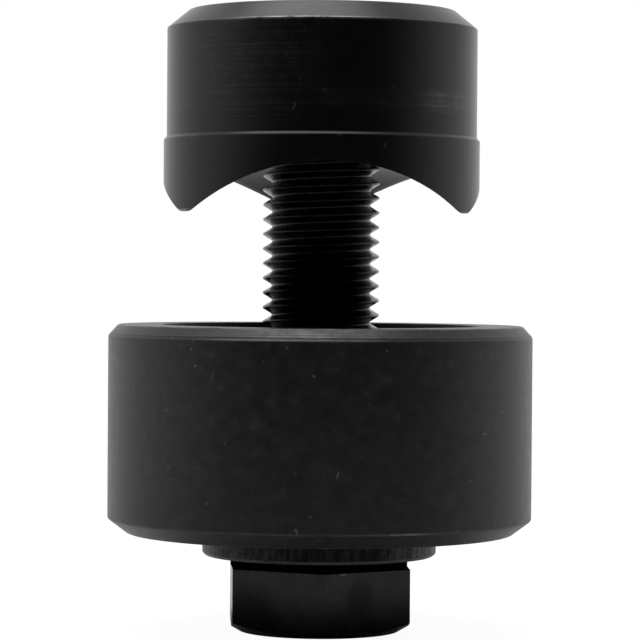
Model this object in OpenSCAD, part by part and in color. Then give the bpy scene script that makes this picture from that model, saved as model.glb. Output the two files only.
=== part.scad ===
// Screw-type knockout punch for round holes in sheet metal.
// A bolt with its head on a ball thrust bearing draws a three-point punch down into a cup-shaped die.
// Millimetres, +Z up along the bolt, origin at the middle of the bolt head's resting face.

/* [Hole] */
// Diameter of the hole that the punch cuts
hole_d = 54; // [48:0.5:60]
// Radial cutting clearance between the punch and the die
cut_clear = 0.2; // [0.1:0.05:0.4]
// Distance between the die's rim and the points of the punch, as the tool stands open
open_gap = 19; // [12:0.5:24]

/* [Punch] */
// Height of the punch from its points to its top face
punch_h = 34.6; // [32:0.1:42]
// Height of the full-diameter cutting land, measured from the points
land_h = 12.5; // [11:0.5:16]
// Radial step from the cutting land back to the body
body_relief = 0.5; // [0.2:0.1:0.8]
// Height of the taper between the land and the body
relief_taper_h = 0.5; // [0.3:0.1:1.5]
// Depth of the arches between the three points
arch_depth = 8.2; // [5:0.2:10]
// Width of the flat that blunts each point
point_flat = 3.6; // [2:0.1:5]
// Angle at which the arches rise inwards from the cutting edge
arch_rise = 5; // [2:0.5:8]
// Radial width of the chamfer round the top face
punch_chamfer_w = 3.8; // [2:0.1:5]
// Height of the chamfer round the top face
punch_chamfer_h = 3.1; // [2:0.1:5]
// Chamfer at both ends of the punch's threaded bore
bore_chamfer = 1; // [0.5:0.1:1.5]
// Turn of the punch about the bolt
punch_turn = 2.4; // [0:0.1:10]

/* [Die] */
// Wall of the die round its cutting edge
die_wall = 9.05; // [7:0.05:12]
// Height of the die
die_h = 35.4; // [33:0.1:42]
// Height of the straight band below the cutting edge
cutting_band_h = 6; // [4:0.5:9]
// Radial relief that frees the slug below the cutting band
slug_relief = 0.8; // [0.4:0.1:1.5]
// Thickness of the floor between the slug space and the bearing
die_floor = 6.5; // [5:0.5:8]
// Chamfer inside, where the wall meets the floor
floor_chamfer = 2; // [1:0.25:3]
// Radial width of the chamfer outside the rim
rim_chamfer_w = 1.7; // [1:0.1:2.5]
// Height of the chamfer outside the rim
rim_chamfer_h = 2; // [1:0.1:3]
// Radial width of the chamfer round the base
base_chamfer_w = 3.2; // [2:0.1:5]
// Height of the chamfer round the base
base_chamfer_h = 2.4; // [1.5:0.1:4]
// Radial clearance between the bolt and the bore in the floor
guide_clear = 0.3; // [0.2:0.05:0.6]

/* [Draw bolt] */
// Diameter of the plain shank
shank_d = 20; // [18:0.5:21]
// Radial step from the plain shank down to the crests of the thread
crest_drop = 0.05; // [0.02:0.01:0.1]
// Distance between neighbouring thread crests
thread_pitch = 2.5; // [2:0.25:3]
// Length of the thread, measured from the bolt's end
thread_length = 66; // [60:1:72]
// Turn of the thread about the bolt
thread_turn = 63; // [0:1:359]
// Length of the bolt below its head
bolt_length = 90; // [84:1:98]
// Radial clearance between the bolt's thread and the punch
thread_clear = 0.12; // [0.08:0.02:0.2]
// Width across flats of the hexagon
hex_af = 30; // [28:0.5:34]
// Height of the hexagon
hex_h = 11.1; // [9:0.1:14]
// Diameter of the round collar between the hexagon and the bearing
collar_d = 30.3; // [27:0.1:32]
// Height of the collar
collar_h = 1.8; // [1.5:0.1:4]
// Edge break round the collar
collar_chamfer = 0.5; // [0.2:0.1:0.8]
// Diameter of the flat that is left inside the hexagon's chamfer
hex_face_d = 27.4; // [26:0.1:29]
// Slope of the hexagon's chamfer
hex_chamfer_angle = 30; // [15:1:40]
// Turn of the hexagon about the bolt
hex_turn = 3; // [0:0.5:30]

/* [Thrust bearing] */
// Outside diameter of the bearing
bearing_d = 40; // [38:0.5:44]
// Height of the bearing
bearing_h = 14; // [12.5:0.5:15]
// Length of the bearing that stands out below the die
bearing_proud = 3.9; // [2.5:0.1:4.5]
// Radial clearance between the bearing and its pocket in the die
pocket_clear = 0.2; // [0.1:0.05:0.4]
// Radial fit of the lower race on the shank
race_fit = 0.05; // [0.03:0.01:0.1]
// Radial clearance between the upper race and the shank
upper_race_clear = 1; // [0.5:0.1:1.5]
// Edge break of the races
race_chamfer = 0.5; // [0.2:0.1:0.9]
// Depth of the ball grooves
groove_depth = 1.2; // [0.8:0.1:1.6]
// Running clearance between the balls and the grooves
ball_clear = 0.08; // [0.06:0.01:0.12]
// Least width of cage left between two balls
cage_web = 0.9; // [0.5:0.05:0.95]
// Thickness of the cage
cage_t = 3; // [2:0.25:4]
// Width of cage left inside and outside the balls
cage_rim = 0.7; // [0.5:0.05:0.9]
// Running clearance of the cage round the shank, in the pocket and round each ball
cage_clear = 0.15; // [0.1:0.01:0.2]

/* [Hidden] */
$fn = 96;
cut_over = 1;
point_count = 3;
hex_sides = 6;
// Depth and crest width of a metric thread, as shares of its pitch
thread_depth_share = 0.6134;
crest_share = 1 / 8;
// Facets in one turn of the thread
thread_steps = 24;

// Radii
punch_r = hole_d / 2;
body_r = punch_r - body_relief;
die_mouth_r = punch_r + cut_clear;
die_r = die_mouth_r + die_wall;
slug_r = die_mouth_r + slug_relief;
shank_r = shank_d / 2;
crest_r = shank_r - crest_drop;
root_r = crest_r - thread_depth_share * thread_pitch;
punch_bore_r = shank_r + thread_clear;
guide_r = shank_r + guide_clear;
pocket_r = bearing_d / 2 + pocket_clear;
hex_corner_r = hex_af / 2 / cos(180 / hex_sides);

// The balls fill the ring between the shank and the pocket, less the cage's rims and clearances
lower_race_bore_r = shank_r + race_fit;
upper_race_bore_r = shank_r + upper_race_clear;
ball_ring_r = (shank_r + bearing_d / 2) / 2;
ball_r = (bearing_d / 2 - shank_r) / 2 - cage_rim - 2 * cage_clear;
ball_space = 2 * (ball_r + ball_clear - groove_depth);
race_t = (bearing_h - ball_space) / 2;
ball_count = floor(180 / asin((ball_r + cage_clear + cage_web / 2) / ball_ring_r));

// Heights
head_h = hex_h + collar_h;
bearing_top_z = head_h + bearing_h;
ball_z = head_h + bearing_h / 2;
die_z = head_h + bearing_proud;
floor_z = bearing_top_z + die_floor;
rim_z = die_z + die_h;
points_z = rim_z + open_gap;
arch_z = points_z + arch_depth;
punch_top_z = points_z + punch_h;
bolt_end_z = head_h + bolt_length;
thread_z = bolt_end_z - thread_length;

// The arch is a circle through the edges of two neighbouring points. Its crown has risen by arch_lift
// when it has come in as far as these edges
arch_half_angle = 180 / point_count - asin(point_flat / 2 / punch_r);
arch_half_span = punch_r * sin(arch_half_angle);
arch_lift = punch_r * (1 - cos(arch_half_angle)) * tan(arch_rise);
arch_drop = (arch_depth + arch_lift) * cos(arch_rise);
arch_r = (pow(arch_half_span, 2) + pow(arch_drop, 2)) / (2 * arch_drop);
bore_foot_z = arch_z + (punch_r - punch_bore_r) * tan(arch_rise);

function ball_name(i) = str("ball_", i < 10 ? "0" : "", i);
function ball_angle(i) = 360 * (i - 1) / ball_count;

// A plain ring between two radii, with its four edges broken
module race_ring(inner_r, outer_r, low_z, high_z, edge) {
    rotate_extrude()
        polygon([
            [inner_r, low_z + edge],
            [inner_r + edge, low_z],
            [outer_r - edge, low_z],
            [outer_r, low_z + edge],
            [outer_r, high_z - edge],
            [outer_r - edge, high_z],
            [inner_r + edge, high_z],
            [inner_r, high_z - edge]
        ]);
}

// The ring-shaped track that the balls run in
module ball_track() {
    rotate_extrude()
        translate([ball_ring_r, ball_z])
            circle(r = ball_r + ball_clear);
}

// A cylinder that comes in along one radius and rises, whose upper half cuts the arch between two points
module arch_cutter() {
    translate([punch_r, 0, arch_z - arch_r / cos(arch_rise)])
        rotate([0, arch_rise - 90, 0])
            translate([0, 0, -arch_r])
                cylinder(r = arch_r, h = arch_r + punch_r);
}

// Turned blank of the punch: the cutting land, the relieved body and the top chamfer
module punch_blank() {
    rotate_extrude()
        polygon([
            [0, points_z],
            [punch_r, points_z],
            [punch_r, points_z + land_h],
            [body_r, points_z + land_h + relief_taper_h],
            [body_r, punch_top_z - punch_chamfer_h],
            [body_r - punch_chamfer_w, punch_top_z],
            [0, punch_top_z]
        ]);
}

// The bore through the punch, opened out at its upper end and at the arches
module punch_bore() {
    rotate_extrude()
        polygon([
            [0, points_z - cut_over],
            [punch_bore_r + bore_chamfer, points_z - cut_over],
            [punch_bore_r + bore_chamfer, bore_foot_z],
            [punch_bore_r, bore_foot_z + bore_chamfer],
            [punch_bore_r, punch_top_z - bore_chamfer],
            [punch_bore_r + bore_chamfer, punch_top_z],
            [punch_bore_r + bore_chamfer, punch_top_z + cut_over],
            [0, punch_top_z + cut_over]
        ]);
}

module punch() {
    color("#2b2b2e")
        rotate([0, 0, punch_turn])
            difference() {
                punch_blank();
                for (i = [0 : point_count - 1])
                    rotate([0, 0, 270 + i * 360 / point_count])
                        arch_cutter();
                punch_bore();
            }
}

// Outside and inside of the die in one section: the slug space above, the bearing's pocket below
module die() {
    color("#36363a")
        rotate_extrude()
            polygon([
                [pocket_r, die_z],
                [die_r - base_chamfer_w, die_z],
                [die_r, die_z + base_chamfer_h],
                [die_r, rim_z - rim_chamfer_h],
                [die_r - rim_chamfer_w, rim_z],
                [die_mouth_r, rim_z],
                [die_mouth_r, rim_z - cutting_band_h],
                [slug_r, rim_z - cutting_band_h - slug_relief],
                [slug_r, floor_z + floor_chamfer],
                [slug_r - floor_chamfer, floor_z],
                [guide_r, floor_z],
                [guide_r, bearing_top_z],
                [pocket_r, bearing_top_z]
            ]);
}

// The hexagon, with the corners of its resting face turned off
module hex_head() {
    intersection() {
        rotate([0, 0, 270 + hex_turn])
            cylinder(r = hex_corner_r, h = hex_h, $fn = hex_sides);
        rotate_extrude()
            polygon([
                [0, 0],
                [hex_face_d / 2, 0],
                [hex_face_d / 2 + hex_h / tan(hex_chamfer_angle), hex_h],
                [0, hex_h]
            ]);
    }
}

// The collar and the plain shank
module bolt_shank() {
    rotate_extrude()
        polygon([
            [0, hex_h],
            [collar_d / 2, hex_h],
            [collar_d / 2, head_h - collar_chamfer],
            [collar_d / 2 - collar_chamfer, head_h],
            [shank_r, head_h],
            [shank_r, thread_z],
            [0, thread_z]
        ]);
}

// A point of the thread, a number of facets along its helix
function helix_point(step, r, lift) = [
    r * cos(360 * step / thread_steps),
    r * sin(360 * step / thread_steps),
    thread_z - 2 * thread_pitch + thread_pitch * step / thread_steps + lift
];

// A right-hand thread longer than the bolt's. Each turn's upper root line is the next turn's lower one
module thread_helix() {
    last = thread_steps * (ceil(thread_length / thread_pitch) + 3);
    roots = [for (s = [0 : last + thread_steps]) helix_point(s, root_r, -thread_pitch / 2)];
    lows = [for (s = [0 : last]) helix_point(s, crest_r, -crest_share * thread_pitch / 2)];
    highs = [for (s = [0 : last]) helix_point(s, crest_r, crest_share * thread_pitch / 2)];
    low_at = len(roots);
    high_at = low_at + len(lows);
    foot_at = high_at + len(highs);
    tip_at = foot_at + 1;
    centres = [[0, 0, roots[0].z], [0, 0, roots[last + thread_steps].z]];
    flanks = [for (s = [0 : last - 1]) each [
        [s, low_at + s, low_at + s + 1, s + 1],
        [low_at + s, high_at + s, high_at + s + 1, low_at + s + 1],
        [high_at + s, s + thread_steps, s + thread_steps + 1, high_at + s + 1]
    ]];
    foot = [for (s = [0 : thread_steps - 1]) [foot_at, s, s + 1]];
    tip = [for (s = [last : last + thread_steps - 1]) [tip_at, s + 1, s]];
    steps_at_ends = [
        [foot_at, thread_steps, high_at, low_at, 0],
        [tip_at, last, low_at + last, high_at + last, last + thread_steps]
    ];
    polyhedron(concat(roots, lows, highs, centres), concat(flanks, foot, tip, steps_at_ends), convexity = 10);
}

// The thread cut to length, with its end turned to a cone
module bolt_thread() {
    cone_h = shank_r - root_r;
    intersection() {
        rotate([0, 0, thread_turn])
            thread_helix();
        rotate_extrude()
            polygon([
                [0, thread_z - thread_pitch],
                [shank_r, thread_z - thread_pitch],
                [shank_r, bolt_end_z - cone_h],
                [root_r, bolt_end_z],
                [0, bolt_end_z]
            ]);
    }
}

module draw_bolt() {
    color("#222225")
        union() {
            hex_head();
            bolt_shank();
            bolt_thread();
        }
}

module upper_race() {
    color("#8d9096")
        difference() {
            race_ring(upper_race_bore_r, bearing_d / 2, bearing_top_z - race_t, bearing_top_z, race_chamfer);
            ball_track();
        }
}

module lower_race() {
    color("#3d3d42")
        difference() {
            race_ring(lower_race_bore_r, bearing_d / 2, head_h, head_h + race_t, race_chamfer);
            ball_track();
        }
}

module ball_cage() {
    color("#b08d3c")
        difference() {
            translate([0, 0, ball_z - cage_t / 2])
                difference() {
                    cylinder(r = bearing_d / 2 - cage_clear, h = cage_t);
                    translate([0, 0, -cut_over])
                        cylinder(r = shank_r + cage_clear, h = cage_t + 2 * cut_over);
                }
            for (i = [1 : ball_count])
                rotate([0, 0, ball_angle(i)])
                    translate([ball_ring_r, 0, ball_z - cage_t])
                        cylinder(r = ball_r + cage_clear, h = 2 * cage_t);
        }
}

module bearing_ball(i) {
    color("#c9ccd1")
        rotate([0, 0, ball_angle(i)])
            translate([ball_ring_r, 0, ball_z])
                sphere(r = ball_r);
}

punch();
die();
draw_bolt();
upper_race();
lower_race();
ball_cage();
for (i = [1 : ball_count])
    bearing_ball(i);
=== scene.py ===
"""Models and finishes a screw-driven knockout punch around its packed solids.

Lengths are in metres. The tool's axis is Z, and the viewer of the photograph stands on the -Y side.
"""
import math
from typing import NamedTuple

import bmesh
import bpy
from bpy.props import FloatProperty, FloatVectorProperty, IntProperty, PointerProperty
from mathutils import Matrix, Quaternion, Vector


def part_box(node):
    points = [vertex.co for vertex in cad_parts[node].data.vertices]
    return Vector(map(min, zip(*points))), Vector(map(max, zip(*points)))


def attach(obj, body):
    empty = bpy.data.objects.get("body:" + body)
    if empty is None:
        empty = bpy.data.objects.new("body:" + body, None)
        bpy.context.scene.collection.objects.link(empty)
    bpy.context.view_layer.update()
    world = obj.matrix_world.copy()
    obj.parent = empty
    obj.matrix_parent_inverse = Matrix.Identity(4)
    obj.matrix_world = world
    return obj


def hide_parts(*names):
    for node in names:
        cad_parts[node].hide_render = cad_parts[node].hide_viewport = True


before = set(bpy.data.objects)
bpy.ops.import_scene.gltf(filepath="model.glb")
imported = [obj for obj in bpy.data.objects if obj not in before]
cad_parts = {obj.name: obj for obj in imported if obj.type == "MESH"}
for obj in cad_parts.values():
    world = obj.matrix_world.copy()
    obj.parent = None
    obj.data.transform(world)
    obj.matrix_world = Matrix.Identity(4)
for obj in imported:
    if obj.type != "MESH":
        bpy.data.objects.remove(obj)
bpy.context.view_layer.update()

bl_info = {
    "name": "Knockout Punch",
    "version": (1, 0, 0),
    "blender": (4, 5, 0),
    "location": "3D View > Sidebar > Knockout",
    "description": "Models a knockout punch, its die, draw bolt and thrust bearing, and lights them",
    "category": "Object",
}

MM = 0.001
POINTS = 3
HEX_SIDES = 6
FRONT = math.radians(270)
BALLS = [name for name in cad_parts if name.startswith("ball_") and name != "ball_cage"]

# Meshes: distances that merge and that count as none, facets in a rounding, least angles of sharp edges
MERGE = 0.002 * MM
SAME = 0.01 * MM
ROUND_SEGMENTS = 3
SHARP_ANGLE = math.radians(32)
HEX_EDGE_ANGLE = math.radians(25)

# Half widths of a metric thread's foot, of its crest and of the tapped thread's crest, as shares of the pitch
FOOT_HALF = 7 / 16
CREST_HALF = 1 / 16
TAPPED_CREST_HALF = 1 / 8

# Pitches over which the bolt's thread runs out, and turns made beyond each of its ends before it is cut
RUN_OUT = 1.5
SPARE_TURNS = 2

# The second facet in the rim's chamfer, from and to these shares of the chamfer's width and height
FACET = ((0.2, 0.72), (0.26, 0.70))

# Patterns in the metals, as cells in a metre
CLOUDS = 450.0
NICKS = 260.0
PATCHES = 400.0
RING_LINES = 2800.0
FINE_FEED = 2600.0
COARSE_FEED = 500.0
FINE_GRAIN = 3200.0
COARSE_GRAIN = 700.0
RIBS = 1300.0
PITS = 2600.0
BRIGHT_CLOUDS = 260.0

# Level of noise at which nicks begin, on an edge that is hardly rubbed and on one that is all rubbed
RARE_NICKS = 0.66
DENSE_NICKS = 0.26

# What is left of a spot's effect far away from it
FAR_SHARE = 0.15

# The room: lean of its dark side, where its walls and ceiling fade, and the rim of the light overhead
DARK_LEAN = -0.12
WALLS_FADE = (-0.85, 0.1)
CEILING_FADE = (0.6, 0.9)
CEILING_SHARE = 0.7
TOP_LIGHT_RIM = (0.84, 0.97)

# The floor: its facets, its gap under the resting face, its white, and how much of that covers the shadow
FLOOR_SEGMENTS = 96
FLOOR_GAP = 0.02 * MM
FLOOR_WHITE = 1.06
FLOOR_COVER = 0.9


class Place(NamedTuple):
    """Sockets for the position on a piece, its distance from the axis and its height."""

    position: bpy.types.NodeSocket
    radius: bpy.types.NodeSocket
    height: bpy.types.NodeSocket


class Spot(NamedTuple):
    """A place, and the distance beyond which little of its effect is left."""

    middle: tuple
    size: float


class Rub(NamedTuple):
    """A turned edge that is rubbed bare: how much of it, how strongly, and where most of all."""

    radius: float
    height: float
    reach: float
    share: float
    depth: float
    spot: Spot = None


class Rings(NamedTuple):
    """Rings of turning that show bare about a radius and height, most of all at a spot."""

    radius: float
    height: float
    reach: float
    depth: float
    spot: Spot


class Zone(NamedTuple):
    """A ring-shaped zone with soft limits, and the share of shine and wear that is left in it."""

    inner: float
    outer: float
    bottom: float
    top: float
    soft: float
    rest: float


class ShadeSpot(NamedTuple):
    """A spot of painted shade, where the shine is taken off, and the share of it that is left there."""

    spot: Spot
    rest: float


class Mark(NamedTuple):
    """Small marks all over: cells in a metre, drawn out along a turned direction, their size in a cell."""

    cells: float
    length: float
    turn: tuple
    size: float
    share: float
    strength: float


MARKS = (
    Mark(400, 1.3, (0, 30, 0), size=0.12, share=0.3, strength=0.25),
    Mark(330, 4, (0, 20, 0), size=0.08, share=0.8, strength=0.4),
    Mark(340, 3, (10, -65, 20), size=0.09, share=0.7, strength=0.3),
    Mark(320, 3, (0, 95, 50), size=0.09, share=0.7, strength=0.3),
    Mark(260, 14, (0, 14, 0), size=0.06, share=0.8, strength=0.3),
)


def low(node):
    """Lowest height of a packed solid."""
    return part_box(node)[0][2]


def high(node):
    """Greatest height of a packed solid."""
    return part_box(node)[1][2]


def reach(node):
    """Outside radius of a packed solid of revolution."""
    return max(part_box(node)[1][0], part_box(node)[1][1])


def length(name, description, default):
    """A property for a size in metres."""
    return FloatProperty(
        name=name, description=description, default=default, min=0.0, precision=5, unit="LENGTH"
    )


def angle(name, description, default):
    """A property for an angle, given in degrees."""
    return FloatProperty(name=name, description=description, default=math.radians(default), subtype="ANGLE")


def colour(name, description, default):
    """A property for a linear colour."""
    return FloatVectorProperty(
        name=name, description=description, default=default, size=3, min=0.0, max=1.0, subtype="COLOR"
    )


def number(name, description, default, least):
    """A property for a number of facets or cuts."""
    return IntProperty(name=name, description=description, default=default, min=least)


class PunchSizes(bpy.types.PropertyGroup):
    """Sizes of the three-point punch."""

    radius: length("Land radius", "Radius of the cutting land, which is the hole's", reach("punch"))
    land_height: length("Land height", "Height of the cutting land above the points", 12.5 * MM)
    relief: length("Relief", "How far the body stands back from the land", 0.5 * MM)
    relief_taper: length("Relief taper", "Height of the step between land and body", 0.5 * MM)
    arch_depth: length("Arch depth", "Height of the arches between the points", 8.2 * MM)
    arch_rise: angle("Arch rise", "Angle at which the arches rise inwards from the cutting edge", 5)
    point_flat: length("Point flat", "Width of the blunt end of a point", 3.6 * MM)
    point_round: length("Point rounding", "Rounding between a point and its arches", 0.25 * MM)
    top_width: length("Top chamfer width", "Radial width of the chamfer at the top", 3.8 * MM)
    top_height: length("Top chamfer height", "Height of the chamfer at the top", 3.1 * MM)
    bore_radius: length("Bore radius", "Major radius of the tapped bore", 10.12 * MM)
    bore_chamfer: length("Bore chamfer", "Countersink at both ends of the bore", 1 * MM)
    thread_minor: length("Thread minor radius", "Radius at the crests of the tapped thread", 8.66 * MM)
    thread_clear: length("Thread clearance", "Gap between the flanks of both threads", 0.05 * MM)
    thread_round: length("Thread rounding", "Rounding of the tapped thread's crests", 0.1 * MM)
    cutting_round: length("Cutting edge rounding", "Rounding of the cutting edge", 0.14 * MM)
    edge_round: length("Edge rounding", "Rounding of the turned edges", 0.16 * MM)
    turn: angle("Turn", "How far the points are turned from the front", 2.4)
    segments: number("Segments", "Facets round the punch", 360, 36)
    underside_cuts: number("Underside cuts", "Rings in the underside", 12, 1)


class DieSizes(bpy.types.PropertyGroup):
    """Sizes of the cup-shaped die."""

    radius: length("Radius", "Outside radius", reach("die"))
    mouth_radius: length("Mouth radius", "Radius of the cutting band", 27.2 * MM)
    mouth_round: length("Mouth rounding", "Rounding of the cutting edge", 0.12 * MM)
    band_height: length("Band height", "Height of the cutting band below the rim", 6 * MM)
    slug_relief: length("Slug relief", "How far the slug space is wider than the band", 0.8 * MM)
    floor_height: length("Floor height", "Height of the slug space's floor", 33.4 * MM)
    floor_chamfer: length("Floor chamfer", "Corner of the slug space's floor", 2 * MM)
    rim_width: length("Rim chamfer width", "Radial width of the chamfer at the rim", 1.7 * MM)
    rim_height: length("Rim chamfer height", "Height of the chamfer at the rim", 2 * MM)
    base_width: length("Base chamfer width", "Width of the chamfer at the base", 3.2 * MM)
    base_height: length("Base chamfer height", "Height of the chamfer at the base", 2.4 * MM)
    guide_radius: length("Guide radius", "Radius of the hole for the draw bolt", 10.3 * MM)
    pocket_radius: length("Pocket radius", "Radius of the bearing's pocket", 20.2 * MM)
    edge_round: length("Edge rounding", "Rounding of the turned edges", 0.2 * MM)
    segments: number("Segments", "Facets round the die", 288, 36)


class BoltSizes(bpy.types.PropertyGroup):
    """Sizes of the draw bolt."""

    shank_radius: length("Shank radius", "Radius of the plain shank", 10 * MM)
    shank_fillet: length("Shank fillet", "Fillet between the collar and the shank", 0.4 * MM)
    crest_radius: length("Crest radius", "Radius at the thread's crests", 9.95 * MM)
    crest_round: length("Crest rounding", "Rounding of the thread's crests", 0.07 * MM)
    root_round: length("Root rounding", "Rounding of the thread's roots", 0.14 * MM)
    thread_depth: length("Thread depth", "From the crests to the roots", 1.53 * MM)
    pitch: length("Pitch", "Rise of the thread in one turn", 2.5 * MM)
    thread_length: length("Thread length", "Length of the threaded part", 66 * MM)
    thread_turn: angle("Thread turn", "Where the thread starts round the bolt", 63)
    hex_flats: length("Hexagon flats", "Width across the hexagon's flats", 30 * MM)
    hex_height: length("Hexagon height", "Height of the hexagon", 11.1 * MM)
    hex_face: length("Resting face", "Radius of the flat resting face", 13.7 * MM)
    hex_chamfer: angle("Hexagon chamfer", "Slope of the turned-off corners", 30)
    hex_turn: angle("Hexagon turn", "How far the near corner is turned from the front", 3)
    collar_radius: length("Collar radius", "Radius of the collar above the hexagon", 15.15 * MM)
    collar_chamfer: length("Collar chamfer", "Chamfer of the collar", 0.5 * MM)
    edge_round: length("Edge rounding", "Rounding of the hexagon's edges", 0.2 * MM)
    thread_steps: number("Thread steps", "Facets in one turn of thread", 72, 12)
    side_steps: number("Side steps", "Facets in a side of the hexagon", 24, 2)


class BearingSizes(bpy.types.PropertyGroup):
    """Sizes of the thrust bearing's races."""

    radius: length("Radius", "Outside radius of both races", reach("lower_race"))
    lower_bore: length("Lower bore", "Bore radius of the race on the bolt", 10.05 * MM)
    upper_bore: length("Upper bore", "Bore radius of the race in the die", 11 * MM)
    track_radius: length("Track radius", "Radius of the balls' ring", 15 * MM)
    groove_radius: length("Groove radius", "Radius of the ball groove's section", 4.08 * MM)
    ball_height: length("Ball height", "Height of the balls' middles", 19.9 * MM)
    chamfer: length("Chamfer", "Chamfer on the races' edges", 0.5 * MM)
    edge_round: length("Edge rounding", "Rounding of the outer edges", 0.1 * MM)
    segments: number("Segments", "Facets round a race", 240, 36)


class Finishes(bpy.types.PropertyGroup):
    """Colours of the steel and brass."""

    punch: colour("Punch", "Burnished black of the punch", (0.0012, 0.0012, 0.0013))
    die: colour("Die", "Burnished black of the die", (0.003, 0.003, 0.0032))
    bolt: colour("Bolt", "Black oxide of the bolt", (0.0008, 0.0008, 0.0009))
    race: colour("Race", "Blackened, rough-ground edge of the lower race", (0.001, 0.001, 0.0011))
    bare: colour("Bare steel", "Steel where the black is rubbed off", (0.16, 0.16, 0.165))
    polished: colour("Polished steel", "Balls and the race in the die", (0.62, 0.63, 0.65))
    brass: colour("Brass", "Ball cage", (0.62, 0.46, 0.19))


class StageSizes(bpy.types.PropertyGroup):
    """Where the camera stands, and how bright the studio is."""

    distance: length("Camera distance", "From the camera to the tool's axis", 0.515)
    eye_height: length("Eye height", "Height of the camera", 0.0612)
    aim_height: length("Aim height", "Height of the picture's middle", 0.05307)
    aim_side: FloatProperty(
        name="Aim side", description="Picture's middle to the right of the axis", default=-0.0001,
        unit="LENGTH",
    )
    lens: FloatProperty(name="Lens", description="Focal length in millimetres", default=169.2, min=1.0)
    roll: angle("Roll", "How far the camera is tilted anticlockwise", 0.4)
    floor_radius: length("Floor radius", "Radius of the pale floor", 0.3)
    top_light: FloatProperty(
        name="Top light", description="Brightness of the light overhead", default=3.8, min=0.0
    )
    light_side: FloatVectorProperty(
        name="Light side", description="Where the light overhead is", default=(-0.12, 0.05, 0.99),
        subtype="DIRECTION",
    )
    front_light: FloatProperty(
        name="Front light", description="Brightness on the viewer's side", default=0.03, min=0.0
    )
    floor: colour("Floor", "Colour of the floor", (0.7, 0.7, 0.7))


class Shading:
    """Adds nodes to a material or a world and links them by their sockets."""

    def __init__(self, tree):
        self.tree = tree

    def node(self, kind, **settings):
        made = self.tree.nodes.new(kind)
        for key, value in settings.items():
            setattr(made, key, value)
        return made

    def put(self, socket, value):
        if isinstance(value, bpy.types.NodeSocket):
            self.tree.links.new(value, socket)
        else:
            socket.default_value = value

    def maths(self, operation, *values):
        made = self.node("ShaderNodeMath", operation=operation)
        for socket, value in zip(made.inputs, values):
            self.put(socket, value)
        return made.outputs[0]

    def chain(self, operation, values):
        """Puts several values together by one operation."""
        result = values[0]
        for value in values[1:]:
            result = self.maths(operation, result, value)
        return result

    def times(self, *values):
        """The product of several values."""
        return self.chain("MULTIPLY", values)

    def most(self, *values):
        """The greatest of several values."""
        return self.chain("MAXIMUM", values)

    def fade(self, value, start, end, first=0.0, last=1.0):
        """Goes smoothly from first to last while the value goes from start to end."""
        made = self.node("ShaderNodeMapRange", interpolation_type="SMOOTHSTEP")
        for socket, given in zip(made.inputs, (value, start, end, first, last)):
            self.put(socket, given)
        return made.outputs[0]

    def band(self, value, middle, half):
        """1 at a value's middle, 0 beyond half a width from it."""
        off = self.maths("ABSOLUTE", self.maths("SUBTRACT", value, middle))
        return self.fade(off, half * 0.4, half, 1.0, 0.0)

    def noise(self, vector, scale, detail=2.0, roughness=0.5):
        made = self.node("ShaderNodeTexNoise")
        self.put(made.inputs["Vector"], vector)
        self.put(made.inputs["Scale"], scale)
        self.put(made.inputs["Detail"], detail)
        self.put(made.inputs["Roughness"], roughness)
        return made.outputs[0]

    def lines(self, value, scale, detail=2.0):
        """Noise along one value, such as the marks of a lathe."""
        made = self.node("ShaderNodeTexNoise", noise_dimensions="1D")
        self.put(made.inputs["W"], value)
        self.put(made.inputs["Scale"], scale)
        self.put(made.inputs["Detail"], detail)
        return made.outputs[0]

    def stretched(self, vector, scale, turn=(0.0, 0.0, 0.0)):
        """Draws a pattern out by a scale along directions that are turned by some degrees."""
        made = self.node("ShaderNodeMapping", vector_type="TEXTURE")
        self.put(made.inputs["Vector"], vector)
        self.put(made.inputs["Rotation"], [math.radians(a) for a in turn])
        self.put(made.inputs["Scale"], scale)
        return made.outputs[0]

    def flecks(self, position, mark):
        """Marks of different strength, one in some cells of a pattern."""
        cells = self.node("ShaderNodeTexVoronoi")
        self.put(cells.inputs["Vector"], self.stretched(position, (1.0, 1.0, mark.length), mark.turn))
        self.put(cells.inputs["Scale"], mark.cells)
        pick = self.node("ShaderNodeSeparateColor")
        self.put(pick.inputs[0], cells.outputs["Color"])
        fleck = self.fade(cells.outputs["Distance"], mark.size * 0.4, mark.size, 1.0, 0.0)
        return self.times(fleck, self.fade(pick.outputs[0], 1.0 - mark.share, 1.0, 0.0, mark.strength))

    def blend(self, share, first, last):
        made = self.node("ShaderNodeMix", data_type="RGBA")
        self.put(made.inputs[0], share)
        for socket, value in zip((made.inputs[6], made.inputs[7]), (first, last)):
            self.put(socket, value if isinstance(value, bpy.types.NodeSocket) else (*value, 1.0))
        return made.outputs[2]

    def bumps(self, heights):
        """A normal from several (height, depth in metres) pairs."""
        normal = None
        for height, depth in heights:
            made = self.node("ShaderNodeBump")
            self.put(made.inputs["Strength"], 1.0)
            self.put(made.inputs["Distance"], depth)
            self.put(made.inputs["Height"], height)
            if normal:
                self.put(made.inputs["Normal"], normal)
            normal = made.outputs[0]
        return normal


def new_material(name):
    """A material, the means to add to it, and its shader."""
    material = bpy.data.materials.new(name)
    material.use_nodes = True
    return material, Shading(material.node_tree), material.node_tree.nodes["Principled BSDF"]


def find_place(shading):
    """Object position, distance from the axis and height."""
    position = shading.node("ShaderNodeTexCoord").outputs["Object"]
    parts = shading.node("ShaderNodeSeparateXYZ")
    shading.put(parts.inputs[0], position)
    x, y, z = parts.outputs
    across = shading.maths("ADD", shading.times(x, x), shading.times(y, y))
    return Place(position, shading.maths("SQRT", across), z)


def around(shading, at, spot):
    """1 near a spot, little beyond its size."""
    off = shading.node("ShaderNodeVectorMath", operation="DISTANCE")
    shading.put(off.inputs[0], at.position)
    shading.put(off.inputs[1], spot.middle)
    return shading.fade(off.outputs["Value"], spot.size * 0.3, spot.size, 1.0, FAR_SHARE)


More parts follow.
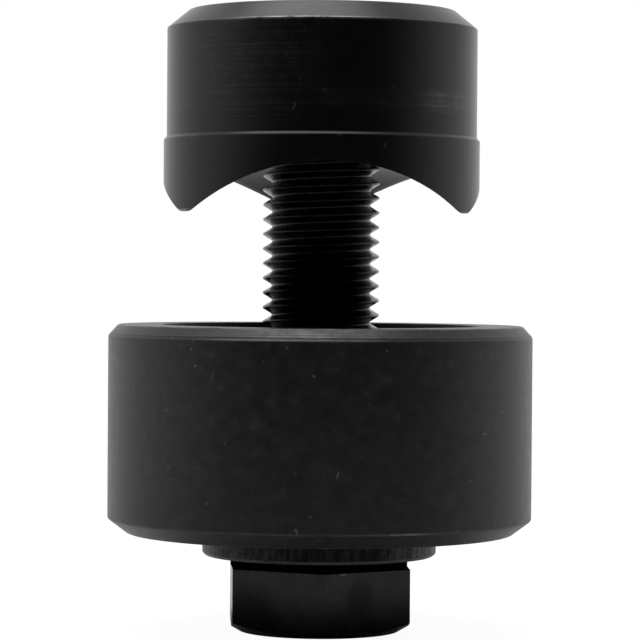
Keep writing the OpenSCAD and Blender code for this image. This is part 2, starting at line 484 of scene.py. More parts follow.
def near_edge(shading, at, edge):
    """1 at an edge's radius and height, 0 beyond its reach."""
    level = shading.band(at.height, edge.height, edge.reach)
    return shading.times(level, shading.band(at.radius, edge.radius, edge.reach))


def rubbed(shading, at, rubs):
    """Where edges are rubbed bare, in nicks that run together as their share grows."""
    nicks = shading.noise(shading.stretched(at.position, (1.0, 1.0, 0.4)), NICKS, 3.0, 0.6)
    marks = []
    for rub in rubs:
        near = near_edge(shading, at, rub)
        if rub.spot:
            near = shading.times(near, around(shading, at, rub.spot))
        start = RARE_NICKS + (DENSE_NICKS - RARE_NICKS) * rub.share
        marks.append(shading.times(near, shading.fade(nicks, start, start + 0.25, 0.0, rub.depth)))
    return shading.most(*marks)


def ringed(shading, at, rings):
    """Where the rings of turning show bare, in patches."""
    lines = shading.lines(shading.maths("SUBTRACT", at.height, at.radius), RING_LINES, 2.0)
    patches = shading.fade(shading.noise(at.position, PATCHES, 3.0, 0.7), 0.35, 0.65, 0.4, 1.0)
    marks = []
    for ring in rings:
        worn = shading.times(near_edge(shading, at, ring), around(shading, at, ring.spot))
        marks.append(shading.times(worn, shading.fade(lines, 0.38, 0.62, ring.depth * 0.2, ring.depth)))
    return shading.times(shading.most(*marks), patches)


def inside(shading, at, zone):
    """1 in a zone, 0 outside its soft limits."""
    return shading.times(
        shading.fade(at.radius, zone.inner - zone.soft, zone.inner),
        shading.fade(at.radius, zone.outer, zone.outer + zone.soft, 1.0, 0.0),
        shading.fade(at.height, zone.bottom - zone.soft, zone.bottom),
        shading.fade(at.height, zone.top, zone.top + zone.soft, 1.0, 0.0),
    )


def lathe_marks(shading, at, depth):
    """Heights and depths of the fine and the coarse marks of a lathe."""
    along = shading.maths("SUBTRACT", at.height, at.radius)
    fine = shading.lines(along, FINE_FEED, 3.0)
    coarse = shading.lines(along, COARSE_FEED, 2.0)
    return [(fine, depth), (coarse, depth * 1.5)]


def steel_grain(shading, at, depth):
    """Heights and depths of the fine and the coarse grain of a steel."""
    fine = shading.noise(at.position, FINE_GRAIN, 2.0, 0.6)
    coarse = shading.noise(at.position, COARSE_GRAIN, 3.0, 0.6)
    return [(fine, depth), (coarse, depth * 2)]


def black_steel(
    name, tint, bare, roughness, gloss, rubs,
    rings=(), zones=(), shade_spots=(), mottle=1.0, lathe=0.0, scratches=0.0, grain=0.0, ribs=0.0,
):
    """Burnished black steel with bare edges, marks of turning, scratches, ribs, zones of less shine and spots
    of painted shade.

    Mottle and scratches are strengths. Lathe, grain and ribs are depths.
    """
    material, shading, steel = new_material(name)
    at = find_place(shading)
    clouds = shading.noise(at.position, CLOUDS, 4.0, 0.65)
    shine = shading.fade(clouds, 0.3, 0.7, gloss * (1 - mottle * 0.1), gloss * (1 + mottle * 0.1))
    wear = rubbed(shading, at, rubs)
    heights = []
    if rings:
        wear = shading.most(wear, ringed(shading, at, rings))
    if lathe:
        heights += lathe_marks(shading, at, lathe)
    if grain:
        heights += steel_grain(shading, at, grain)
    if ribs:
        upright = shading.noise(shading.stretched(at.position, (1.0, 1.0, 8.0)), RIBS, 2.0, 0.6)
        pits = shading.noise(at.position, PITS, 2.0, 0.6)
        heights.append((upright, ribs))
        wear = shading.most(wear, shading.fade(upright, 0.5, 0.7, 0.0, 0.05))
        shine = shading.times(
            shine, shading.fade(pits, 0.4, 0.6, 0.6, 1.3), shading.fade(upright, 0.4, 0.6, 0.8, 1.3)
        )
    if scratches:
        marks = [shading.flecks(at.position, mark) for mark in MARKS]
        marks.append(shading.fade(clouds, 0.58, 0.78, 0.0, mottle * 0.04))
        wear = shading.most(wear, shading.times(shading.most(*marks), scratches))
    # Painted shade: the shine is taken off near each spot.
    for shade_spot in shade_spots:
        near = around(shading, at, shade_spot.spot)
        shine = shading.times(shine, shading.fade(near, FAR_SHARE, 1.0, 1.0, shade_spot.rest))
    # Zones with less shine and wear. Some of them are painted shade.
    for zone in zones:
        rest = shading.fade(inside(shading, at, zone), 0.0, 1.0, 1.0, zone.rest)
        shine = shading.times(shine, rest)
        wear = shading.times(wear, rest)
    deep = tuple(c * (1 - mottle * 0.3) for c in tint)
    pale = tuple(c * (1 + mottle * 0.4) for c in tint)
    black = shading.blend(shading.fade(clouds, 0.3, 0.7), deep, pale)
    matt = shading.fade(clouds, 0.25, 0.75, roughness - mottle * 0.04, roughness + mottle * 0.05)
    shading.put(steel.inputs["Base Color"], shading.blend(wear, black, bare))
    shading.put(steel.inputs["Specular IOR Level"], shine)
    shading.put(steel.inputs["Metallic"], shading.times(wear, 0.8))
    shading.put(steel.inputs["Roughness"], matt)
    if heights:
        shading.put(steel.inputs["Normal"], shading.bumps(heights))
    return material


def bright_metal(name, tint, roughness):
    """Plain ground or polished metal with faint clouding."""
    material, shading, metal = new_material(name)
    position = shading.node("ShaderNodeTexCoord").outputs["Object"]
    clouds = shading.noise(position, BRIGHT_CLOUDS, 3.0, 0.6)
    shading.put(metal.inputs["Base Color"], shading.blend(clouds, tuple(c * 0.85 for c in tint), tint))
    shading.put(metal.inputs["Metallic"], 1.0)
    shading.put(metal.inputs["Roughness"], shading.fade(clouds, 0.3, 0.7, roughness, roughness + 0.08))
    return material


def draw_section(bm, corners, closed=True):
    """Draws half a section in the XZ plane, from (radius, height, rounding) corners."""
    verts = [bm.verts.new((radius, 0.0, z)) for radius, z, _ in corners]
    for first, last in zip(verts, verts[1:] + verts[:1] if closed else verts[1:]):
        bm.edges.new((first, last))
    for vert, (_, _, rounding) in zip(verts, corners):
        if rounding:
            bmesh.ops.bevel(
                bm, geom=[vert], offset=rounding, offset_type="OFFSET", segments=ROUND_SEGMENTS,
                profile=0.5, affect="VERTICES", material=-1,
            )


def turn_section(bm, segments, start=0.0):
    """Spins everything in the bmesh once round the tool's axis, from an angle."""
    rotate(bm, start)
    bmesh.ops.spin(
        bm, geom=bm.verts[:] + bm.edges[:], cent=(0, 0, 0), axis=(0, 0, 1), dvec=(0, 0, 0),
        angle=math.tau, steps=segments, use_merge=True,
    )
    close_up(bm)


def rotate(bm, turn):
    """Turns everything in the bmesh round the tool's axis."""
    turned = Quaternion((0, 0, 1), turn).to_matrix()
    bmesh.ops.rotate(bm, cent=(0, 0, 0), matrix=turned, verts=bm.verts[:])


def close_up(bm):
    """Merges doubles and points the faces outwards."""
    bmesh.ops.remove_doubles(bm, verts=bm.verts[:], dist=MERGE)
    bmesh.ops.recalc_face_normals(bm, faces=bm.faces[:])


def join(bm, part):
    """Puts everything of another bmesh into this one, and frees the other."""
    carrier = bpy.data.meshes.new("carrier")
    part.to_mesh(carrier)
    part.free()
    bm.from_mesh(carrier)
    bpy.data.meshes.remove(carrier)


def spread(vert):
    """Distance of a vertex from the tool's axis."""
    return math.hypot(vert.co.x, vert.co.y)


def set_spread(vert, radius):
    """Moves a vertex in or out to a radius."""
    share = radius / spread(vert)
    vert.co.x *= share
    vert.co.y *= share


def off_nearest(vert, start, count):
    """Angle of a vertex from the nearest of several evenly spaced directions."""
    step = math.tau / count
    turn = math.atan2(vert.co.y, vert.co.x) - start
    return turn - step * round(turn / step)


def boundary(bm, height, slack=0.2 * MM):
    """Open edges at a height."""
    return [e for e in bm.edges if e.is_boundary and all(abs(v.co.z - height) < slack for v in e.verts)]


def add_piece(context, name, bm, material, body, slot, *nodes):
    """Makes an object of the bmesh, which stands for packed solids and moves with their body."""
    for face in bm.faces:
        face.smooth = True
    for edge in bm.edges:
        edge.smooth = edge.calc_face_angle(0.0) < SHARP_ANGLE
    mesh = bpy.data.meshes.new(name)
    bm.to_mesh(mesh)
    bm.free()
    if not mesh.polygons:
        raise RuntimeError(f"{name} has no faces")
    mesh.materials.append(material)
    piece = bpy.data.objects.new(name, mesh)
    context.scene.collection.objects.link(piece)
    shade = piece.modifiers.new("even_shading", "WEIGHTED_NORMAL")
    shade.keep_sharp = True
    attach(piece, body)
    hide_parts(*nodes)
    return piece


def arch_radius(sizes):
    """Radius of an arch: a circle through the edges of two points, which rises inwards."""
    half_angle = math.pi / POINTS - math.asin(sizes.point_flat / 2 / sizes.radius)
    half_span = sizes.radius * math.sin(half_angle)
    lift = sizes.radius * (1 - math.cos(half_angle)) * math.tan(sizes.arch_rise)
    drop = (sizes.arch_depth + lift) * math.cos(sizes.arch_rise)
    return (half_span ** 2 + drop ** 2) / (2 * drop)


def bore_foot(sizes):
    """Height of the countersink's wide end, where the arches' crowns have come in to the bore."""
    return low("punch") + sizes.arch_depth + (sizes.radius - sizes.bore_radius) * math.tan(sizes.arch_rise)


def punch_section(sizes):
    """Half section of the punch before its arches are cut."""
    ground, top = low("punch"), high("punch")
    body = sizes.radius - sizes.relief
    step = ground + sizes.land_height
    lip = sizes.bore_radius + sizes.bore_chamfer
    foot = bore_foot(sizes)
    return [
        (lip, ground, 0),
        (sizes.radius, ground, sizes.cutting_round),
        (sizes.radius, step, sizes.edge_round),
        (body, step + sizes.relief_taper, sizes.edge_round),
        (body, top - sizes.top_height, sizes.edge_round * 0.7),
        (body - sizes.top_width, top, sizes.edge_round * 1.5),
        (lip, top, sizes.edge_round),
        (sizes.bore_radius, top - sizes.bore_chamfer, 0),
        (sizes.bore_radius, foot + sizes.bore_chamfer, 0),
        (lip, foot, 0),
    ]


def cut_arches(bm, sizes, first_arch):
    """Lifts the punch's flat underside to the arches between its points."""
    radius = arch_radius(sizes)
    underside = low("punch") + 0.5 * MM
    for vert in bm.verts:
        if vert.co.z < underside:
            turn = off_nearest(vert, first_arch, POINTS)
            aside = spread(vert) * math.sin(turn)
            inwards = sizes.radius - spread(vert) * math.cos(turn)
            drop = (radius - math.sqrt(radius ** 2 - aside ** 2)) / math.cos(sizes.arch_rise)
            lift = sizes.arch_depth + inwards * math.tan(sizes.arch_rise) - drop
            vert.co.z += (lift + math.hypot(lift, sizes.point_round)) / 2


def cut_tapped_thread(bm, sizes, bolt):
    """Adds the ridge of the tapped thread, which lies between two turns of the bolt's thread."""
    foot_half = bolt.pitch * FOOT_HALF - sizes.thread_clear
    crest_half = bolt.pitch * TAPPED_CREST_HALF - sizes.thread_clear
    buried = sizes.bore_radius + 0.25 * MM
    sunk = sizes.bore_radius + 0.1 * MM
    corners = (
        (buried, -foot_half, 0), (sizes.bore_radius, -foot_half, 0),
        (sizes.thread_minor, -crest_half, sizes.thread_round),
        (sizes.thread_minor, crest_half, sizes.thread_round),
        (sizes.bore_radius, foot_half, 0), (buried, foot_half, 0),
    )
    bottom = bore_foot(sizes) + sizes.bore_chamfer
    top = high("punch") - sizes.bore_chamfer
    thread_foot = high("draw_bolt") - bolt.thread_length
    start = thread_foot + bolt.pitch * (math.ceil((bottom - thread_foot) / bolt.pitch) + 0.5)
    turns = int((high("punch") - bottom - bolt.pitch) / bolt.pitch)
    ridge = bmesh.new()
    draw_section(ridge, corners)
    bmesh.ops.contextual_create(ridge, geom=ridge.edges[:])
    rotate(ridge, bolt.thread_turn)
    bmesh.ops.translate(ridge, vec=(0, 0, start), verts=ridge.verts[:])
    bmesh.ops.spin(
        ridge, geom=ridge.verts[:] + ridge.edges[:] + ridge.faces[:], cent=(0, 0, 0), axis=(0, 0, 1),
        dvec=(0, 0, bolt.pitch / bolt.thread_steps), angle=math.tau * turns, steps=turns * bolt.thread_steps,
        use_merge=False,
    )
    close_up(ridge)
    for vert in ridge.verts:
        if vert.co.z > top:
            set_spread(vert, max(spread(vert), sunk + vert.co.z - top))
    join(bm, ridge)


def punch_steel(sizes, finishes):
    """Steel of the punch, rubbed bare under its top chamfer and at a point, with painted shade in its bore,
    and dull below.
    """
    ground, top = low("punch"), high("punch")
    body = sizes.radius - sizes.relief
    step = ground + sizes.land_height
    lip = sizes.bore_radius + sizes.bore_chamfer
    chamfer_radius, chamfer_height = body - sizes.top_width / 2, top - sizes.top_height / 2
    above_step = step + 6 * MM
    rubs = (
        Rub(
            body, top - sizes.top_height, reach=0.35 * MM, share=1.0, depth=0.95,
            spot=Spot((-4 * MM, -body, top), 18 * MM),
        ),
        Rub(body - sizes.top_width, top, reach=0.3 * MM, share=0.6, depth=0.4),
        Rub(
            sizes.radius, ground, reach=0.7 * MM, share=1.2, depth=0.9,
            spot=Spot((-23.4 * MM, -13.5 * MM, ground), 3 * MM),
        ),
    )
    rings = (
        Rings(chamfer_radius, chamfer_height, 2.5 * MM, 0.2, Spot((-6 * MM, -body, top), 16 * MM)),
        Rings(body, (step + top) / 2, 20 * MM, 0.1, Spot((-15 * MM, -body, top - 8 * MM), 20 * MM)),
        Rings(body, above_step, 2.5 * MM, 0.35, Spot((20.5 * MM, -16.5 * MM, above_step), 8 * MM)),
    )
    zones = (
        # Painted shade: the bore and its countersinks, around the bolt, keep almost no shine.
        Zone(inner=0.0, outer=lip, bottom=ground, top=top - 2 * MM, soft=0.1 * MM, rest=0.05),
        Zone(inner=0.0, outer=body - 0.5 * MM, bottom=ground, top=step, soft=0.1 * MM, rest=0.55),
    )
    return black_steel(
        "burnished_punch_steel", finishes.punch, finishes.bare, roughness=0.28, gloss=0.24, rubs=rubs,
        rings=rings, zones=zones, mottle=0.15, lathe=0.004 * MM, scratches=0.9,
    )


class KNOCKOUT_OT_punch(bpy.types.Operator):
    """Turn the punch, cut its arches and tap its bore"""

    bl_idname = "knockout.punch"
    bl_label = "Three-point punch"

    def execute(self, context):
        sizes = context.scene.knockout_punch
        ground = low("punch")
        bm = bmesh.new()
        draw_section(bm, punch_section(sizes))
        underside = [e for e in bm.edges if all(abs(v.co.z - ground) < SAME for v in e.verts)]
        bmesh.ops.subdivide_edges(bm, edges=underside, cuts=sizes.underside_cuts)
        first_arch = FRONT + sizes.turn
        turn_section(bm, sizes.segments, first_arch + math.pi / POINTS)
        cut_arches(bm, sizes, first_arch)
        bm.normal_update()
        cut_tapped_thread(bm, sizes, context.scene.knockout_bolt)
        steel = punch_steel(sizes, context.scene.knockout_finishes)
        add_piece(context, "three_point_punch", bm, steel, "punch", "punch_steel", "punch")
        return {"FINISHED"}


def die_section(sizes):
    """Half section of the die. Its rim chamfer has a narrow second facet."""
    base, rim = low("die"), high("die")
    slug = sizes.mouth_radius + sizes.slug_relief
    pocket_top = high("upper_race")
    rounding = sizes.edge_round
    facet = [(sizes.radius - sizes.rim_width * w, rim - sizes.rim_height * h, 0) for w, h in FACET]
    return [
        (sizes.pocket_radius, base, rounding),
        (sizes.radius - sizes.base_width, base, rounding),
        (sizes.radius, base + sizes.base_height, rounding * 1.5),
        (sizes.radius, rim - sizes.rim_height, rounding * 0.6),
        *facet,
        (sizes.radius - sizes.rim_width, rim, rounding),
        (sizes.mouth_radius, rim, sizes.mouth_round),
        (sizes.mouth_radius, rim - sizes.band_height, 0),
        (slug, rim - sizes.band_height - sizes.slug_relief, 0),
        (slug, sizes.floor_height + sizes.floor_chamfer, 0),
        (slug - sizes.floor_chamfer, sizes.floor_height, 0),
        (sizes.guide_radius, sizes.floor_height, rounding),
        (sizes.guide_radius, pocket_top, rounding),
        (sizes.pocket_radius, pocket_top, 0),
    ]


def die_steel(sizes, finishes):
    """Steel of the die, scratched, with its rim and its base's edge rubbed bare in front."""
    base, rim = low("die"), high("die")
    rubs = (
        Rub(
            sizes.radius, rim - sizes.rim_height * 0.92, reach=0.3 * MM, share=1.1, depth=0.95,
            spot=Spot((-4 * MM, -sizes.radius, rim), 20 * MM),
        ),
        Rub(sizes.radius - sizes.rim_width, rim, reach=0.3 * MM, share=0.9, depth=0.6),
        Rub(
            sizes.radius, base + sizes.base_height, reach=0.25 * MM, share=0.9, depth=0.7,
            spot=Spot((13 * MM, -33 * MM, base), 7 * MM),
        ),
        Rub(sizes.radius - sizes.base_width, base, reach=0.3 * MM, share=0.4, depth=0.35),
        Rub(sizes.mouth_radius, rim, reach=0.2 * MM, share=0.6, depth=0.6),
    )
    chamfer_radius, chamfer_height = sizes.radius - sizes.rim_width / 2, rim - sizes.rim_height / 2
    in_front = Spot((0.0, -sizes.radius, rim), 16 * MM)
    return black_steel(
        "burnished_die_steel", finishes.die, finishes.bare, roughness=0.39, gloss=0.28, rubs=rubs,
        rings=(Rings(chamfer_radius, chamfer_height, 1.35 * MM, 0.7, in_front),),
        lathe=0.002 * MM, scratches=1.6, grain=0.003 * MM,
    )


class KNOCKOUT_OT_die(bpy.types.Operator):
    """Turn the cup-shaped die with its slug space and bearing pocket"""

    bl_idname = "knockout.die"
    bl_label = "Cup die"

    def execute(self, context):
        sizes = context.scene.knockout_die
        bm = bmesh.new()
        draw_section(bm, die_section(sizes))
        turn_section(bm, sizes.segments)
        steel = die_steel(sizes, context.scene.knockout_finishes)
        add_piece(context, "cup_die", bm, steel, "die", "die_steel", "die")
        return {"FINISHED"}


def roll_thread(bm, sizes, end):
    """Makes the bolt's thread up to its end, coned there and run out into the shank below."""
    foot = end - sizes.thread_length
    root = sizes.crest_radius - sizes.thread_depth
    pitch = sizes.pitch
    corners = (
        (root, -pitch / 2, 0), (root, -pitch * FOOT_HALF, sizes.root_round),
        (sizes.crest_radius, -pitch * CREST_HALF, sizes.crest_round),
        (sizes.crest_radius, pitch * CREST_HALF, sizes.crest_round),
        (root, pitch * FOOT_HALF, sizes.root_round), (root, pitch / 2, 0),
    )
    draw_section(bm, corners, closed=False)
    rotate(bm, sizes.thread_turn)
    bmesh.ops.translate(bm, vec=(0, 0, foot - SPARE_TURNS * pitch), verts=bm.verts[:])
    bmesh.ops.spin(
        bm, geom=bm.verts[:] + bm.edges[:], cent=(0, 0, 0), axis=(0, 0, 1),
        dvec=(0, 0, pitch / sizes.thread_steps), angle=math.tau, steps=sizes.thread_steps, use_merge=False,
    )
    one_turn = bm.verts[:] + bm.edges[:] + bm.faces[:]
    for turn in range(1, math.ceil(sizes.thread_length / pitch) + 2 * SPARE_TURNS):
        copied = bmesh.ops.duplicate(bm, geom=one_turn)["geom"]
        verts = [part for part in copied if isinstance(part, bmesh.types.BMVert)]
        bmesh.ops.translate(bm, vec=(0, 0, pitch * turn), verts=verts)
    close_up(bm)
    cone = sizes.shank_radius - root
    for vert in bm.verts:
        radius = min(spread(vert), sizes.shank_radius - max(0.0, vert.co.z - end + cone))
        run_out = (vert.co.z - foot) / (RUN_OUT * pitch)
        if run_out < 1:
            radius = max(radius, sizes.shank_radius - cone * max(0.0, run_out))
        set_spread(vert, radius)
    shank_top = foot - pitch / 4
    for height, side in ((end, 1), (shank_top, -1)):
        bmesh.ops.bisect_plane(
            bm, geom=bm.verts[:] + bm.edges[:] + bm.faces[:], plane_co=(0, 0, height), plane_no=(0, 0, side),
            clear_outer=True,
        )
    bmesh.ops.remove_doubles(bm, verts=bm.verts[:], dist=MERGE)
    return shank_top


def hex_corner(sizes):
    """Radius at the hexagon's corners."""
    return sizes.hex_flats / 2 / math.cos(math.pi / HEX_SIDES)


def forge_head(bm, sizes, top):
    """Adds the hexagon with its turned-off corners and the collar, open where the shank joins."""
    flat, corner = sizes.hex_flats / 2, hex_corner(sizes)
    shank_foot = top + sizes.shank_fillet
    corners = (
        (sizes.hex_face, 0.0, 0), (corner, 1 * MM, 0), (corner, sizes.hex_height, 0),
        (sizes.collar_radius, sizes.hex_height, 0), (sizes.collar_radius, top - sizes.collar_chamfer, 0),
        (sizes.collar_radius - sizes.collar_chamfer, top, 0),
        (sizes.shank_radius + sizes.shank_fillet, top, 0), (sizes.shank_radius, shank_foot, 0),
    )
    head = bmesh.new()
    draw_section(head, corners, closed=False)
    first_corner = FRONT + sizes.hex_turn
    turn_section(head, HEX_SIDES * sizes.side_steps, first_corner)
    slope = math.tan(sizes.hex_chamfer)
    for vert in head.verts:
        if spread(vert) > corner - SAME:
            from_flat = off_nearest(vert, first_corner + math.pi / HEX_SIDES, HEX_SIDES)
            radius = flat / math.cos(from_flat)
            set_spread(vert, radius)
            if vert.co.z < sizes.hex_height / 2:
                vert.co.z = (radius - sizes.hex_face) * slope
    bmesh.ops.edgeloop_fill(head, edges=boundary(head, 0.0))
    bmesh.ops.recalc_face_normals(head, faces=head.faces[:])
    sharp = [e for e in head.edges if e.calc_face_angle(0.0) > HEX_EDGE_ANGLE]
    on_hexagon = [e for e in sharp if all(spread(v) > flat - SAME for v in e.verts)]
    bmesh.ops.bevel(
        head, geom=on_hexagon, offset=sizes.edge_round, offset_type="OFFSET", segments=2, profile=0.5,
        affect="EDGES", material=-1, clamp_overlap=True,
    )
    join(bm, head)
    return shank_foot


def bolt_steel(sizes, finishes):
    """Black oxide of the draw bolt, with painted shade: spots of less shine, a collar left black and less
    shine at the foot.
    """
    corner = hex_corner(sizes)
    rubs = (
        Rub(
            corner - 1.5 * MM, sizes.hex_height - 0.1 * MM, reach=0.3 * MM, share=0.8, depth=0.7,
            spot=Spot((4.2 * MM, -15.2 * MM, sizes.hex_height), 4 * MM),
        ),
        Rub(
            corner - 0.5 * MM, sizes.hex_height * 0.7, reach=5 * MM, share=0.6, depth=0.12,
            spot=Spot((2.3 * MM, -16.3 * MM, sizes.hex_height * 0.8), 4 * MM),
        ),
    )
    zones = (
        # Painted shade: the collar under the bearing keeps no shine and no wear, so it reads black.
        Zone(
            inner=sizes.shank_radius, outer=corner, bottom=sizes.hex_height, top=low("lower_race"),
            soft=0.02 * MM, rest=0.0,
        ),
        # Painted shade: less shine towards the hexagon's foot, near the floor.
        Zone(inner=0.0, outer=corner, bottom=-1 * MM, top=0.0, soft=11 * MM, rest=0.25),
    )
    # Painted shade: less shine where the thread faces the viewer, and in spots on the hexagon's lower faces.
    shade_spots = (
        ShadeSpot(Spot((0.3 * MM, -10 * MM, 57 * MM), 13 * MM), rest=0.1),
        ShadeSpot(Spot((-11.5 * MM, -11 * MM, 3 * MM), 8 * MM), rest=0.5),
        ShadeSpot(Spot((6.9 * MM, -13.4 * MM, 7 * MM), 4 * MM), rest=0.6),
    )
    return black_steel(
        "black_bolt_steel", finishes.bolt, finishes.bare, roughness=0.23, gloss=0.26, rubs=rubs,
        zones=zones, shade_spots=shade_spots, mottle=2.2, scratches=0.3, grain=0.006 * MM,
    )


class KNOCKOUT_OT_draw_bolt(bpy.types.Operator):
    """Roll the draw bolt's thread and join it to its collar and hexagon"""

    bl_idname = "knockout.draw_bolt"
    bl_label = "Draw bolt"

    def execute(self, context):
        sizes = context.scene.knockout_bolt
        end = high("draw_bolt")
        bm = bmesh.new()
        shank_top = roll_thread(bm, sizes, end)
        bmesh.ops.edgeloop_fill(bm, edges=boundary(bm, end))
        shank_foot = forge_head(bm, sizes, low("lower_race"))
        bmesh.ops.bridge_loops(bm, edges=boundary(bm, shank_top) + boundary(bm, shank_foot))
        bmesh.ops.recalc_face_normals(bm, faces=bm.faces[:])
        if any(e.is_boundary for e in bm.edges):
            raise RuntimeError("the draw bolt isn't closed")
        steel = bolt_steel(sizes, context.scene.knockout_finishes)
        add_piece(context, "threaded_draw_bolt", bm, steel, "draw_bolt", "bolt_steel", "draw_bolt")
        return {"FINISHED"}


def race_section(sizes, bore, back, face):
    """Half section of a race: its back rests, its face carries the balls' groove."""
    up = 1 if face > back else -1
    rounding = sizes.edge_round
    groove_half = math.sqrt(sizes.groove_radius ** 2 - (sizes.ball_height - face) ** 2)
    groove_foot = sizes.ball_height - up * sizes.groove_radius
    return [
        (bore, back + up * sizes.chamfer, 0),
        (bore + sizes.chamfer, back, 0),
        (sizes.radius - sizes.chamfer, back, rounding),
        (sizes.radius, back + up * sizes.chamfer, rounding),
        (sizes.radius, face - up * sizes.chamfer, rounding),
        (sizes.radius - sizes.chamfer, face, 0),
        (sizes.track_radius + groove_half, face, 0),
        (sizes.track_radius + groove_half * 0.5, groove_foot, 0),
        (sizes.track_radius - groove_half * 0.5, groove_foot, 0),
        (sizes.track_radius - groove_half, face, 0),
        (bore + sizes.chamfer, face, 0),
        (bore, face - up * sizes.chamfer, 0),
    ]


def race_steel(sizes, finishes):
    """Rough-ground, blackened steel of the race on the bolt, with a bare lower edge and painted shade on its
    front.
    """
    bottom = low("lower_race")
    edge = Rub(
        sizes.radius - sizes.chamfer / 2, bottom + sizes.chamfer / 2, reach=0.4 * MM, share=1.1, depth=0.6
    )
    # Painted shade: less shine on the race's front, under the die.
    shade_spot = ShadeSpot(Spot((2 * MM, -sizes.radius, bottom + 2 * MM), 16 * MM), rest=0.6)
    return black_steel(
        "rough_ground_race_steel", finishes.race, finishes.bare, roughness=0.42, gloss=0.2, rubs=(edge,),
        shade_spots=(shade_spot,), scratches=0.2, ribs=0.15 * MM,
    )


class KNOCKOUT_OT_bearing(bpy.types.Operator):
    """Turn the bearing's races, and finish its cage and balls"""

    bl_idname = "knockout.bearing"
    bl_label = "Thrust bearing"

    def execute(self, context):
        sizes = context.scene.knockout_bearing
        finishes = context.scene.knockout_finishes
        ground = race_steel(sizes, finishes)
        polished = bright_metal("polished_bearing_steel", finishes.polished, 0.14)
        brass = bright_metal("machined_cage_brass", finishes.brass, 0.26)
        bm = bmesh.new()
        draw_section(bm, race_section(sizes, sizes.lower_bore, low("lower_race"), high("lower_race")))
        turn_section(bm, sizes.segments)
        add_piece(context, "lower_race_ring", bm, ground, "draw_bolt", "race_steel", "lower_race")
        bm = bmesh.new()
        draw_section(bm, race_section(sizes, sizes.upper_bore, high("upper_race"), low("upper_race")))
        turn_section(bm, sizes.segments)
        add_piece(context, "upper_race_ring", bm, polished, "die", "ball_steel", "upper_race")
        for name in BALLS + ["ball_cage"]:
            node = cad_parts[name]
            node.data.materials.clear()
            node.data.materials.append(brass if name == "ball_cage" else polished)
        return {"FINISHED"}


def light_room(world, sizes):
    """A white room with a light overhead, dark towards the viewer. The camera sees only white."""
    world.use_nodes = True
    shading = Shading(world.node_tree)
    background = world.node_tree.nodes["Background"]
    direction = shading.node("ShaderNodeTexCoord").outputs["Generated"]
    parts = shading.node("ShaderNodeSeparateXYZ")
    shading.put(parts.inputs[0], direction)
    across, along, up = parts.outputs
    away = shading.maths("MULTIPLY_ADD", across, DARK_LEAN, along)
    walls = shading.times(
        shading.fade(away, *WALLS_FADE, sizes.front_light, 1.0),
        shading.fade(up, *CEILING_FADE, 1.0, CEILING_SHARE),
    )
    towards = shading.node("ShaderNodeVectorMath", operation="DOT_PRODUCT")
    shading.put(towards.inputs[0], direction)
    shading.put(towards.inputs[1], sizes.light_side)
    overhead = shading.fade(towards.outputs["Value"], *TOP_LIGHT_RIM, 0.0, sizes.top_light)
    seen = shading.node("ShaderNodeLightPath").outputs["Is Camera Ray"]
    unseen = shading.maths("SUBTRACT", 1.0, seen)
    lit = shading.times(shading.maths("ADD", walls, overhead), unseen)
    shading.put(background.inputs["Color"], (1.0, 1.0, 1.0, 1.0))
    shading.put(background.inputs["Strength"], shading.maths("ADD", lit, seen))


def pale_floor(sizes):
    """A pale floor that reads white, with a part of the tool's shadow kept."""
    material, shading, matt = new_material("pale_floor")
    shading.put(matt.inputs["Base Color"], (*sizes.floor, 1.0))
    shading.put(matt.inputs["Roughness"], 0.9)
    shading.put(matt.inputs["Specular IOR Level"], 0.0)
    white = shading.node("ShaderNodeEmission")
    shading.put(white.inputs["Color"], (1.0, 1.0, 1.0, 1.0))
    shading.put(white.inputs["Strength"], FLOOR_WHITE)
    seen = shading.node("ShaderNodeLightPath").outputs["Is Camera Ray"]
    mixed = shading.node("ShaderNodeMixShader")
    shading.put(mixed.inputs[0], shading.times(seen, FLOOR_COVER))
    shading.put(mixed.inputs[1], matt.outputs[0])
    shading.put(mixed.inputs[2], white.outputs[0])
    shading.put(material.node_tree.nodes["Material Output"].inputs["Surface"], mixed.outputs[0])
    return material


def lay_floor(scene, sizes):
    """Lays the floor just under the resting face."""
    bm = bmesh.new()
    bmesh.ops.create_circle(bm, cap_ends=True, segments=FLOOR_SEGMENTS, radius=sizes.floor_radius)
    bmesh.ops.translate(bm, vec=(0, 0, -FLOOR_GAP), verts=bm.verts[:])
    mesh = bpy.data.meshes.new("floor")
    bm.to_mesh(mesh)
    bm.free()
    mesh.materials.append(pale_floor(sizes))
    floor = bpy.data.objects.new("floor", mesh)
    scene.collection.objects.link(floor)


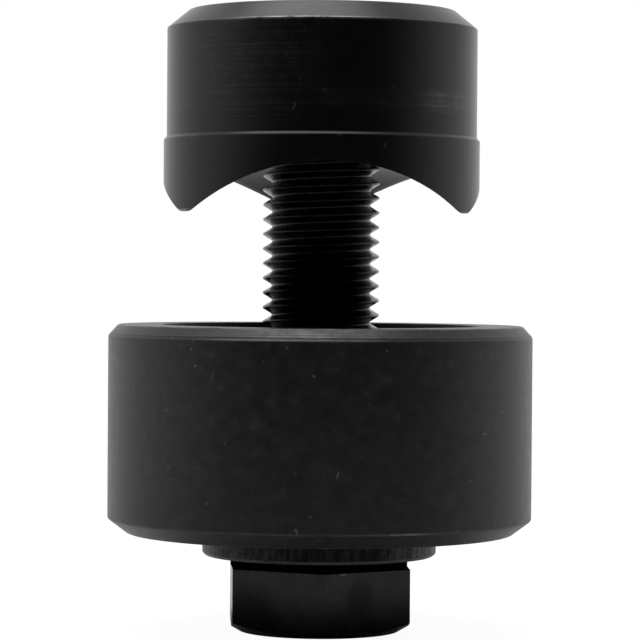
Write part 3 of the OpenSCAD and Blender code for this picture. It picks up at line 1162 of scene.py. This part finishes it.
def stand_camera(scene, sizes):
    """Stands the camera where the photograph was taken."""
    camera = bpy.data.objects.new("viewpoint", bpy.data.cameras.new("viewpoint"))
    camera.data.lens = sizes.lens
    camera.location = (0.0, -sizes.distance, sizes.eye_height)
    aim = Vector((sizes.aim_side, 0.0, sizes.aim_height)) - camera.location
    turn = aim.to_track_quat("-Z", "Y") @ Quaternion((0, 0, 1), sizes.roll)
    camera.rotation_euler = turn.to_euler()
    scene.collection.objects.link(camera)
    scene.camera = camera


class KNOCKOUT_OT_stage(bpy.types.Operator):
    """Lay the floor, light the room and stand the camera in the photograph's place"""

    bl_idname = "knockout.stage"
    bl_label = "Stage and camera"

    def execute(self, context):
        scene = context.scene
        sizes = scene.knockout_stage
        lay_floor(scene, sizes)
        scene.world = bpy.data.worlds.new("white_room")
        light_room(scene.world, sizes)
        stand_camera(scene, sizes)
        scene.view_settings.view_transform = "Standard"
        return {"FINISHED"}


OPERATORS = (
    KNOCKOUT_OT_punch, KNOCKOUT_OT_die, KNOCKOUT_OT_draw_bolt, KNOCKOUT_OT_bearing, KNOCKOUT_OT_stage,
)
GROUPS = {
    "knockout_punch": PunchSizes,
    "knockout_die": DieSizes,
    "knockout_bolt": BoltSizes,
    "knockout_bearing": BearingSizes,
    "knockout_finishes": Finishes,
    "knockout_stage": StageSizes,
}


class KNOCKOUT_PT_sidebar(bpy.types.Panel):
    """The tool's pieces and their sizes"""

    bl_idname = "KNOCKOUT_PT_sidebar"
    bl_label = "Knockout Punch"
    bl_space_type = "VIEW_3D"
    bl_region_type = "UI"
    bl_category = "Knockout"

    def draw(self, context):
        for operator in OPERATORS:
            self.layout.operator(operator.bl_idname)
        for key, group in GROUPS.items():
            column = self.layout.column(align=True)
            column.label(text=group.__doc__)
            for name in group.__annotations__:
                column.prop(getattr(context.scene, key), name)


def register():
    for made in (*GROUPS.values(), *OPERATORS, KNOCKOUT_PT_sidebar):
        bpy.utils.register_class(made)
    for key, group in GROUPS.items():
        setattr(bpy.types.Scene, key, PointerProperty(type=group))


def unregister():
    for key in GROUPS:
        delattr(bpy.types.Scene, key)
    for made in reversed((*GROUPS.values(), *OPERATORS, KNOCKOUT_PT_sidebar)):
        bpy.utils.unregister_class(made)


def main():
    register()
    bpy.ops.knockout.punch()
    bpy.ops.knockout.die()
    bpy.ops.knockout.draw_bolt()
    bpy.ops.knockout.bearing()
    bpy.ops.knockout.stage()


if __name__ == "__main__":
    main()
